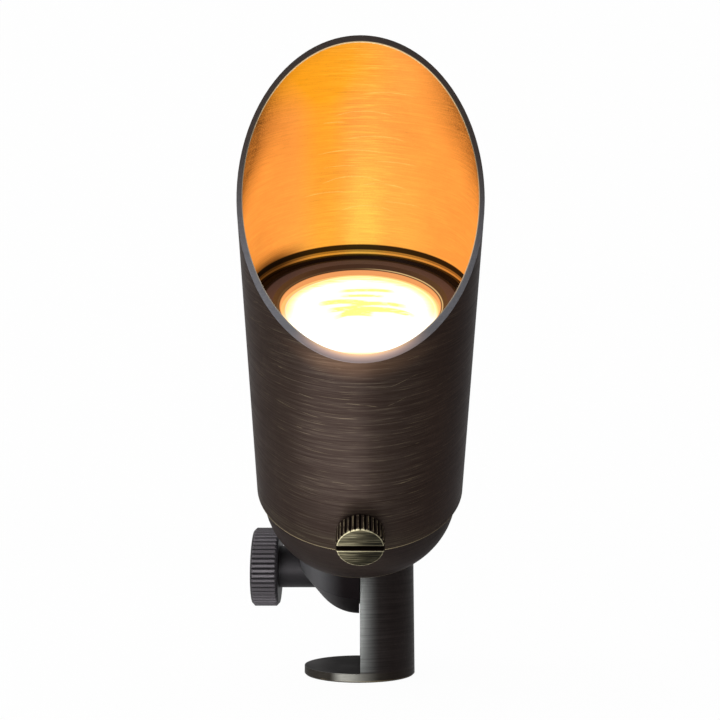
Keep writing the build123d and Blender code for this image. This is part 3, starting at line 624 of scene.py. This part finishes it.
def stem_finish(bronze):
    """Dark bronze brushed level across the stem: painted highlights on the flat edge and the foot's front,
    painted shade on the right and the foot's top, and a worn edge round the foot.
    """
    material, tree = new_finish("stem_bronze")
    place = tree.row()
    x, y, z = tree.split(place)
    radius = tree.distance(x, y)
    coarse, fine = brush_lines(tree, place, (0.05, 0.05, 1.9), (0.12, 0.12, 6.0))
    cloud = tree.noise(place, 0.08, 3.0, 0.6)
    tone = tree.ramp(coarse * 0.5 + fine * 0.25 + cloud * 0.25, 0.30, 0.72)
    patina = tree.mix(tone, tree.scale_colour(bronze.stem_tone, 0.62),
                      tree.scale_colour(bronze.stem_tone, 1.6))
    foot_side = tree.ramp(radius, STEM_RADIUS - 0.3, STEM_RADIUS - 0.05)
    foot_side = foot_side * tree.ramp(z, FOOT_TOP + 0.4, FOOT_TOP - 0.2)
    wear_and_light_noise = tree.noise(tree.stretch(place, (0.16, 0.16, 1.2)), 1.0, 3.0, 0.6)
    patina = tree.mix(foot_side * 0.32, patina, tree.scale_colour(bronze.olive, 0.6))
    # Painted highlight on the front of the foot's edge, mottled
    patch = foot_side * tree.ramp(x, -9.5, -5.5) * tree.ramp(x, 7.0, -4.5) * tree.ramp(y, 0.0, -8.0)
    patch = patch * (0.45 + wear_and_light_noise * 0.5)
    patina = tree.mix(patch, patina, bronze.foot_highlight)
    corner = tree.ramp(radius, STEM_RADIUS - 0.7, STEM_RADIUS - 0.2) * tree.stripe(z, 0.10, 0.50, 0.15)
    patina = tree.mix(corner * tree.ramp(wear_and_light_noise, 0.40, 0.60) * 0.45, patina, bronze.worn)
    # Painted highlight: grey sheen down the front of the stem's flat edge
    flat_edge_highlight = tree.ramp(x, 6.5, -1.5) * tree.ramp(z, FOOT_TOP, FOOT_TOP + 0.8) * tree.ramp(y, -8.0, -15.0)
    flat_edge_highlight = flat_edge_highlight * tree.ramp(z, 34.0, 26.0, 0.65, 1.0) * (0.15 + coarse * 0.9 + fine * 0.35)
    patina = tree.mix(flat_edge_highlight.math("MINIMUM", 1.0), patina, bronze.stem_edge_highlight)
    foot_top = tree.stripe(z, FOOT_TOP - 0.4, FOOT_TOP + 0.4, 0.2)
    foot_top = foot_top * tree.ramp(radius, STEM_RADIUS - 0.1, STEM_RADIUS - 0.5)
    shade = foot_top * tree.ramp(x, -16.0, -7.0, 0.35, 1.0)
    patina = tree.mix(shade * 0.60, patina, tree.scale_colour(bronze.stem_tone, 0.3))
    # Painted shade down the right side
    right = tree.ramp(x, 3.0, 11.0) * 0.62
    patina = tree.mix(right, patina, tree.scale_colour(bronze.stem_shade, 0.6 + coarse * 0.8))
    tree.surface(Base_Color=patina, Metallic=0.75, Roughness=0.30 + (1.0 - tone) * 0.14 + shade * 0.25,
                 Specular_IOR_Level=0.35, Specular_Tint=(0.6, 0.6, 0.6),
                 Normal=tree.bump(coarse * 0.6 + fine * 0.4, bronze.brush_depth))
    return material


def knob_finish(bronze):
    """Satin bronze with paler ridges, dark grooves and a darker shank."""
    material, tree = new_finish("knob_bronze")
    place = tree.space(PIVOT, 0)
    x, y, z = tree.split(place)
    radius = tree.distance(y, z)
    grain = tree.noise(tree.stretch(place, (3.0, 0.6, 0.6)), 1.0, 4.0, 0.6)
    ridge = tree.ramp(radius, KNOB_RADIUS - 0.5, KNOB_RADIUS - 0.05)
    base = tree.mix(ridge * 0.75 + (grain - 0.5) * 0.5, tree.scale_colour(bronze.knob_tone, 0.45),
                    tree.scale_colour(bronze.knob_tone, 1.5))
    shank = tree.ramp(radius, KNOB_RADIUS - 2.0, KNOB_RADIUS - 3.0)
    base = tree.mix(shank * 0.55, base, tree.scale_colour(bronze.knob_tone, 0.22))
    turning = tree.noise(tree.join(radius, x * 0.2, 0.0), 3.5, 3.0, 0.7)
    tree.surface(Base_Color=base, Metallic=0.6, Roughness=0.40 + grain * 0.14, Specular_IOR_Level=0.4,
                 Normal=tree.bump(grain * 0.5 + turning * 0.5, bronze.brush_depth * 0.7))
    return material


def thumbscrew_finish(bronze):
    """Olive bronze brushed across its face, with bare brass on tooth tips, rim and slot; painted light on
    the face and rim, brighter at the left; dark patina and painted shade in the slot.
    """
    material, tree = new_finish("thumbscrew_bronze")
    place = tree.head()
    x, y, z = tree.split(place)
    height = z - SCREW_CENTRE
    radius = tree.distance(x, height)
    depth = y + SCREW_FACE
    strokes = tree.noise(tree.stretch(place, (0.07, 0.6, 2.6)), 1.0, 4.0, 0.70)
    hairs = tree.noise(tree.stretch(place, (0.10, 0.6, 5.0)), 1.0, 2.0, 0.6)
    wear_and_highlight_noise = tree.noise(place, 0.8, 3.0, 0.6)
    # Bare brass for worn hairlines, and for the painted highlights on the rim and slot edges
    bare = tree.mix(wear_and_highlight_noise, bronze.worn, bronze.screw_bare)
    # Painted light on the flat face, brighter towards the upper left
    face_light = tree.ramp(x * 0.9 - height * 0.3, 4.5, -5.5)
    brush = tree.ramp(strokes * 0.5 + hairs * 0.5 + (face_light - 0.5) * 0.10, 0.40, 0.60)
    face = tree.mix(brush, tree.scale_colour(bronze.olive, 0.01), tree.scale_colour(bronze.olive, 0.34))
    face = tree.mix(face_light * 0.22, face, tree.scale_colour(bronze.olive, 0.80))
    face = tree.mix(tree.ramp(hairs + face_light * 0.16, 0.60, 0.74) * 0.18, face, bare)
    tips = tree.ramp(radius + (wear_and_highlight_noise - 0.5) * 0.2, SCREW_RADIUS - 0.26, SCREW_RADIUS - 0.04)
    flank = tree.mix(tips, tree.scale_colour(bronze.patina_dark, 0.4),
                     tree.scale_colour(bronze.patina_light, 0.9))
    ribs = x.math("ARCTAN2", height) * (SCREW_TEETH / (2 * pi)) + RIB_START
    rib_line = tree.ramp(abs(ribs.math("FRACT") - 0.5), 0.09, 0.02)
    rib_line = rib_line * tree.ramp(radius, SCREW_RADIUS - 0.2, SCREW_RADIUS)
    rib_wear = rib_line * tree.ramp(wear_and_highlight_noise, 0.36, 0.60) * 0.75
    flank = tree.mix(rib_wear, flank, tree.scale_colour(bronze.worn, 0.8))
    on_face = tree.ramp(depth, 0.32, 0.18)
    base = tree.mix(on_face, flank, face)
    corner = tree.ramp(abs(depth - 0.12), 0.28, 0.05)
    corner = corner * tree.ramp(radius, SCREW_RADIUS - 0.64, SCREW_RADIUS - 0.48)
    flat_rim = tree.ramp(radius, SCREW_RADIUS - 0.42, SCREW_RADIUS - 0.30)
    corner = corner * (1.0 - flat_rim * tree.ramp(abs(x + 0.6), 1.5, 4.0))
    # Painted highlight on the rim's worn chamfer, strongest at the left and top
    left = tree.ramp(x, 6.5, -1.0, 0.45, 1.0) * tree.ramp(height, -5.0, 1.0, 0.75, 1.0)
    slot = tree.stripe(height, -1.30, -1.05, 0.06) + tree.stripe(height, 0.86, 1.02, 0.06) * 0.35
    slot = slot * on_face * tree.ramp(x, 4.0, -5.0, 0.50, 1.0)
    # Worn bare brass on the rim and slot edges, brighter on the left as painted highlight
    bright = corner * left * tree.ramp(wear_and_highlight_noise, 0.30, 0.55, 0.45, 1.0) + slot * 0.6
    base = tree.mix(bright.math("MINIMUM", 1.0) * 0.9, base, bare)
    # Dark patina and painted shade inside the slot
    slot_patina_and_shade = tree.ramp(abs(height), 0.78, 0.70) * tree.ramp(depth, 0.1, 0.5)
    slot_patina_and_shade = (slot_patina_and_shade + tree.stripe(height, -0.98, 0.84, 0.04)).math("MINIMUM", 1.0)
    base = tree.mix(slot_patina_and_shade * 0.9, base, tree.scale_colour(bronze.patina_dark, 0.4))
    tree.surface(Base_Color=base, Metallic=0.50, Roughness=0.40 + wear_and_highlight_noise * 0.12, Specular_IOR_Level=0.15,
                 Specular_Tint=(0.62, 0.58, 0.42),
                 Normal=tree.bump(strokes * 0.5 + hairs * 0.5, bronze.brush_depth))
    return material


def machined_finish(name, tone, rough, metallic, step):
    """Turned metal with fine tool lines round the axis and faint stains."""
    material, tree = new_finish(name)
    place = tree.head()
    lines = tree.noise(tree.stretch(place, (0.2, 0.2, step)), 1.0, 3.0, 0.6)
    stain = tree.noise(place, 0.15, 3.0, 0.6)
    base = tree.mix(lines * 0.6 + stain * 0.4, tree.scale_colour(tone, 0.75), tree.scale_colour(tone, 1.12))
    tree.surface(Base_Color=base, Metallic=metallic, Roughness=rough + (stain - 0.5) * 0.15,
                 Normal=tree.bump(lines, 0.00003))
    return material


def moulded_finish(name, tone, rough, grain):
    """Moulded plastic, rubber or ceramic: fine grain, slight mottle and a soft sheen."""
    material, tree = new_finish(name)
    place = tree.row()
    pores = tree.noise(place, grain, 4.0, 0.6)
    mottle = tree.noise(place, 0.2, 3.0, 0.6)
    base = tree.mix(mottle * 0.7 + pores * 0.3, tree.scale_colour(tone, 0.8), tree.scale_colour(tone, 1.08))
    tree.surface(Base_Color=base, Roughness=rough + (pores - 0.5) * 0.2, Normal=tree.bump(pores, 0.00004))
    return material


def chip_finish(glow):
    """Lit phosphor with a slight mottle."""
    material, tree = new_finish("lit_phosphor")
    mottle = tree.noise(tree.row(), 1.5, 3.0)
    tone = tree.mix(mottle, glow.phosphor, glow.white)
    tree.surface(Base_Color=tone, Roughness=0.5, Emission_Color=tone, Emission_Strength=1.0)
    return material


def optic_finish(glow):
    """Clear moulded optic lit from behind, ribbed in rings."""
    material, tree = new_finish("lit_optic")
    x, y = tree.split(tree.head())[:2]
    rings = (tree.distance(x, y) * 4.0).math("SINE") * 0.5 + 0.5
    tone = tree.mix(rings * 0.4, glow.white, glow.yellow)
    tree.surface(Base_Color=(0.9, 0.9, 0.86), Roughness=0.15, Emission_Color=tone, Emission_Strength=0.8,
                 Normal=tree.bump(rings, 0.0001))
    return material


# New pieces --------------------------------------------------------------------------------

BEAD_RADIUS = 0.04      # rounding of the mouth's inner edge
BEAD_STEPS = 256
BEAD_SIDES = 8
THREAD_DEPTH = 0.55
THREAD_PITCH = 1.0
THREAD_END = 0.4        # plain run at each end of the foot's hole
THREAD_SIDES = 40


def grid_mesh(name, points, closed=False):
    """A smooth mesh of a grid of points, of shape (U, V, 3).

    Each grid cell is one four-sided face; a closed grid also joins its last row and column to its first.
    """
    rows, columns = points.shape[:2]
    u = np.arange(rows if closed else rows - 1)[:, None]
    v = np.arange(columns if closed else columns - 1)[None, :]
    next_u = (u + 1) % rows
    next_v = (v + 1) % columns
    faces = np.stack((u * columns + v, next_u * columns + v,
                      next_u * columns + next_v, u * columns + next_v), -1).reshape(-1, 4)
    mesh = bpy.data.meshes.new(name)
    mesh.vertices.add(rows * columns)
    mesh.vertices.foreach_set("co", points.reshape(-1).astype(np.float32))
    mesh.loops.add(faces.size)
    mesh.loops.foreach_set("vertex_index", faces.reshape(-1).astype(np.int32))
    mesh.polygons.add(len(faces))
    mesh.polygons.foreach_set("loop_start", np.arange(0, faces.size, 4, dtype=np.int32))
    mesh.polygons.foreach_set("loop_total", np.full(len(faces), 4, np.int32))
    mesh.polygons.foreach_set("use_smooth", np.ones(len(faces), bool))
    mesh.update(calc_edges=True)
    mesh.validate()
    return mesh


def add_object(name, data):
    """Puts a new object in the scene."""
    thing = bpy.data.objects.new(name, data)
    bpy.context.collection.objects.link(thing)
    return thing


def add_surface(name, mesh, material, body):
    """Makes a piece of a mesh and sets it on a CAD body."""
    piece = add_object(name, mesh)
    piece.data.materials.append(material)
    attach(piece, body)


def rim_bead(radius, bead, steps, around):
    """Rounded edge of the slanting mouth.

    At angle t round the head's axis the bead's middle is (radius sin t, -radius cos t), 1.3 bead
    radii below the slant plane there; its section is a circle in the plane of radius and axis.
    """
    t = np.linspace(0, 2 * pi, steps, endpoint=False)[:, None]
    s = np.linspace(0, 2 * pi, around, endpoint=False)[None, :]
    reach = radius + bead * np.cos(s)
    y = -reach * np.cos(t)
    z = SLANT_MIDDLE - radius * np.cos(t) * np.tan(SLANT) - bead * 1.3 + bead * np.sin(s)
    return from_head(reach * np.sin(t), y, z)


def thread_ridge(radius, depth, pitch, low, high, sides):
    """Cut thread on the inside of an upright bore, in millimetres about Z.

    A point at angle a along the helix climbs pitch for each turn; across the ridge, v from 0 to 1,
    its radius goes in by depth at the middle and back out at the sides, and its height gains v pitch.
    """
    turns = (high - low - pitch) / pitch
    a = np.linspace(0, 2 * pi * turns, int(turns * sides) + 1)[:, None]
    v = np.array([0.0, 0.42, 0.58, 1.0])[None, :]
    reach = radius - depth * np.array([0.0, 1.0, 1.0, 0.0])[None, :] + 0 * a
    z = low + pitch * (a / (2 * pi) + v)
    return np.stack((reach * np.cos(a), reach * np.sin(a), z), -1)[:, ::-1]


# Operators ---------------------------------------------------------------------------------

class SPOTLIGHT_OT_shroud(bpy.types.Operator):
    """Finish the shroud and its thumbscrew, and round the edge of the mouth"""
    bl_idname = "spotlight.shroud"
    bl_label = "Shroud and thumbscrew"

    def execute(self, context):
        bronze, glow = context.scene.spotlight_bronze, context.scene.spotlight_glow
        shroud = shroud_finish(bronze, glow)
        dress("shroud", shroud)
        dress("shroud_screw", thumbscrew_finish(bronze))
        dress("screw_tip", moulded_finish("tip_nylon", NYLON, 0.45, 2.5))
        edge = machined_finish("worn_edge", bronze.worn, 0.30, 0.9, 2.0)
        bead = rim_bead(SHROUD_BORE + BEAD_RADIUS / 2, BEAD_RADIUS, BEAD_STEPS, BEAD_SIDES)
        add_surface("mouth_edge", grid_mesh("mouth_edge", bead, closed=True), edge, "shroud")
        return {"FINISHED"}


class SPOTLIGHT_OT_housing(bpy.types.Operator):
    """Finish the housing and its seals"""
    bl_idname = "spotlight.housing"
    bl_label = "Housing and seals"

    def execute(self, context):
        bronze, glow = context.scene.spotlight_bronze, context.scene.spotlight_glow
        dress("housing", housing_finish(bronze, glow))
        rubber = moulded_finish("seal_rubber", (0.022, 0.022, 0.023), 0.55, 1.8)
        for node in ("lower_o_ring", "upper_o_ring", "knuckle_o_ring", "lead_grommet"):
            dress(node, rubber)
        return {"FINISHED"}


class SPOTLIGHT_OT_lens(bpy.types.Operator):
    """Finish the lit lens, its gasket and its retaining ring"""
    bl_idname = "spotlight.lens"
    bl_label = "Lens and ring"

    def execute(self, context):
        bronze, glow = context.scene.spotlight_bronze, context.scene.spotlight_glow
        dress("lens", lens_finish(glow))
        dress("lens_retainer", retainer_finish(bronze, glow))
        dress("lens_gasket", moulded_finish("gasket_silicone", (0.55, 0.53, 0.48), 0.5, 1.5))
        return {"FINISHED"}


class SPOTLIGHT_OT_lamp(bpy.types.Operator):
    """Finish the lamp, its holder and the bracket"""
    bl_idname = "spotlight.lamp"
    bl_label = "Lamp and holder"

    def execute(self, context):
        glow = context.scene.spotlight_glow
        dress("lamp_heatsink", machined_finish("lamp_aluminium", (0.70, 0.70, 0.71), 0.38, 1.0, 2.6))
        dress("led_board", moulded_finish("board_mask", (0.82, 0.82, 0.79), 0.45, 1.2))
        dress("led_chips", chip_finish(glow))
        dress("lamp_optic", optic_finish(glow))
        dress("lamp_base", moulded_finish("base_plastic", (0.83, 0.81, 0.74), 0.42, 1.6))
        dress("lamp_socket", moulded_finish("holder_ceramic", (0.84, 0.81, 0.75), 0.62, 2.2))
        steel = machined_finish("small_steel", (0.56, 0.56, 0.57), 0.34, 1.0, 3.0)
        for node in ("lamp_pins", "socket_bracket", "bracket_screws"):
            dress(node, steel)
        return {"FINISHED"}


class SPOTLIGHT_OT_knuckle(bpy.types.Operator):
    """Finish the stem, the knob and its stud, and cut the foot's thread"""
    bl_idname = "spotlight.knuckle"
    bl_label = "Knuckle"

    def execute(self, context):
        bronze = context.scene.spotlight_bronze
        stem = stem_finish(bronze)
        dress("knuckle_stem", stem)
        dress("clamp_knob", knob_finish(bronze))
        dress("clamp_stud", machined_finish("stud_steel", (0.50, 0.50, 0.51), 0.36, 1.0, 4.0))
        dress("thrust_washer", moulded_finish("washer_nylon", NYLON, 0.45, 2.5))
        hole = next(m for m in frame["record"]["mounts"] if m["name"] == "spike_thread")
        radius, run = hole["dims"]["r_mm"], hole["dims"]["length_mm"]
        ridge = thread_ridge(radius, THREAD_DEPTH, THREAD_PITCH, THREAD_END, run - THREAD_END, THREAD_SIDES)
        ridge = ridge * MM + np.array((hole["pos_m"][0], hole["pos_m"][1], 0.0))
        add_surface("foot_thread", grid_mesh("foot_thread", ridge), stem, "stem")
        return {"FINISHED"}


class SPOTLIGHT_OT_stage(bpy.types.Operator):
    """Lay the pale floor sheet, set the world, the lights and the camera"""
    bl_idname = "spotlight.stage"
    bl_label = "Stage"

    def execute(self, context):
        stage = context.scene.spotlight_stage
        floor_sheet(stage)
        studio_world(context.scene, stage)
        for name, place, target, width, height, power in LIGHTS:
            soft_box(name, place, target, width, height, getattr(stage, power))
        camera = bpy.data.cameras.new("camera")
        camera.sensor_width = SENSOR_WIDTH
        camera.lens = stage.focal_length
        camera.clip_start = CLIP_START
        thing = add_object("camera", camera)
        point_at(thing, stage.camera_place, stage.camera_aim)
        context.scene.camera = thing
        context.scene.view_settings.view_transform = "Standard"
        return {"FINISHED"}


# Stage, in metres: each light's name, place, what it looks at, width, height and power setting
LIGHTS = (("key_box", (-0.45, -1.0, 0.28), (0, -0.03, 0.07), 0.50, 0.70, "key_power"),
          ("side_box", (-1.1, -0.25, 0.35), (0, -0.03, 0.08), 0.50, 0.90, "side_power"),
          ("near_panel", (-0.045, -0.095, 0.003), (-0.045, -0.095, 1.0), 0.11, 0.07, "near_power"),
          ("far_panel", (-0.065, -0.225, 0.003), (-0.065, -0.225, 1.0), 0.15, 0.15, "far_power"))
SENSOR_WIDTH = 36.0     # millimetres
CLIP_START = 0.01
FLOOR_BEND = 0.5        # radius of the quarter round between floor and back
FLOOR_BACK = 1.6        # how far behind the foot the back stands
FLOOR_DROP = 0.00005    # the floor's distance under the foot
BEND_STEPS = 25


def shows_directly(tree, stage):
    """How white a ray sees the background, and Is Glossy Ray.

    The first is 1 straight on or through glass, and the mirrored share off a glossy face.
    """
    node = tree.add("ShaderNodeLightPath").socket.node
    camera = Wire(tree, node.outputs["Is Camera Ray"])
    glossy = Wire(tree, node.outputs["Is Glossy Ray"])
    through = Wire(tree, node.outputs["Is Transmission Ray"])
    return (camera + through + glossy * stage.mirror_share).math("MINIMUM", 1.0), glossy


def floor_sheet(stage):
    """One sheet: level floor, a quarter round and an upright back.

    Along v it runs level to the bend, turns through 90 degrees at a radius, then climbs; u is across.
    """
    half = stage.floor_half
    turn = np.linspace(0, pi / 2, BEND_STEPS)
    y = np.concatenate(([-half], FLOOR_BACK - FLOOR_BEND + FLOOR_BEND * np.sin(turn), [FLOOR_BACK]))
    z = np.concatenate(([0.0], FLOOR_BEND - FLOOR_BEND * np.cos(turn), [half])) - FLOOR_DROP
    x = np.linspace(-half, half, 3)[:, None]
    points = np.stack((x + 0 * y, y + 0 * x, z + 0 * x), -1)
    material, tree = new_finish("floor_paper")
    seen, glossy = shows_directly(tree, stage)
    paper = tree.add("ShaderNodeBsdfDiffuse", None,
                     {"Color": tree.mix(glossy, (0.86, 0.86, 0.86), (0.10, 0.10, 0.10))})
    white = tree.add("ShaderNodeEmission", None, {"Color": (1.0, 1.0, 1.0), "Strength": 1.0})
    shader = tree.add("ShaderNodeMixShader", None, {0: seen * 0.97, 1: paper, 2: white})
    tree.add_output(shader)
    sheet = add_object("floor_sheet", grid_mesh("floor_sheet", points))
    sheet.data.materials.append(material)


def studio_world(scene, stage):
    """White where it is seen; as light, brighter from the left than from the right."""
    world = bpy.data.worlds.new("studio")
    world.use_nodes = True
    scene.world = world
    tree = Finish(world.node_tree)
    x, y = tree.split(tree.add("ShaderNodeTexCoord", out="Generated"))[:2]
    seen, glossy = shows_directly(tree, stage)
    behind = tree.ramp(y, 0.10, 0.40)
    white = seen * (1.0 - glossy * (1.0 - behind))
    side = tree.ramp(x * 0.85 + y * 0.30, 0.70, -0.75, 0.25, 1.25) * (1.0 - glossy * 0.70)
    strength = white + (1.0 - white) * side
    background = tree.add("ShaderNodeBackground", None, {"Color": (1.0, 1.0, 1.0), "Strength": strength})
    tree.add_output(background, "ShaderNodeOutputWorld")


def point_at(thing, place, direction):
    """Stands a camera or a light at a place, looking along a direction."""
    thing.location = place
    thing.rotation_mode = "QUATERNION"
    thing.rotation_quaternion = Vector(direction).to_track_quat("-Z", "Y")


def soft_box(name, place, target, width, height, power):
    """A soft area light that looks at a point."""
    light = bpy.data.lights.new(name, "AREA")
    light.shape = "RECTANGLE"
    light.size = width
    light.size_y = height
    light.energy = power
    thing = add_object(name, light)
    point_at(thing, place, Vector(target) - Vector(place))
    thing.visible_camera = False


class SPOTLIGHT_PT_panel(bpy.types.Panel):
    """Lists the spotlight's settings and its pieces"""
    bl_idname = "SPOTLIGHT_PT_panel"
    bl_label = "Spotlight"
    bl_space_type = "VIEW_3D"
    bl_region_type = "UI"
    bl_category = "Spotlight"

    def draw(self, context):
        for group in (context.scene.spotlight_bronze, context.scene.spotlight_glow,
                      context.scene.spotlight_stage):
            box = self.layout.box()
            for name in group.__annotations__:
                box.prop(group, name)
        for operator in OPERATORS:
            self.layout.operator(operator.bl_idname)


GROUPS = {"spotlight_bronze": SpotlightBronze, "spotlight_glow": SpotlightGlow,
          "spotlight_stage": SpotlightStage}
OPERATORS = (SPOTLIGHT_OT_shroud, SPOTLIGHT_OT_housing, SPOTLIGHT_OT_lens, SPOTLIGHT_OT_lamp,
             SPOTLIGHT_OT_knuckle, SPOTLIGHT_OT_stage)


def register():
    """Adds the classes and the scene's settings."""
    for cls in (*GROUPS.values(), *OPERATORS, SPOTLIGHT_PT_panel):
        bpy.utils.register_class(cls)
    for name, group in GROUPS.items():
        setattr(bpy.types.Scene, name, bpy.props.PointerProperty(type=group))


def unregister():
    """Takes them away again."""
    for name in GROUPS:
        delattr(bpy.types.Scene, name)
    for cls in (SPOTLIGHT_PT_panel, *reversed(OPERATORS), *GROUPS.values()):
        bpy.utils.unregister_class(cls)


def main():
    """Makes everything."""
    register()
    bpy.ops.spotlight.shroud()
    bpy.ops.spotlight.housing()
    bpy.ops.spotlight.lens()
    bpy.ops.spotlight.lamp()
    bpy.ops.spotlight.knuckle()
    bpy.ops.spotlight.stage()


if __name__ == "__main__":
    main()
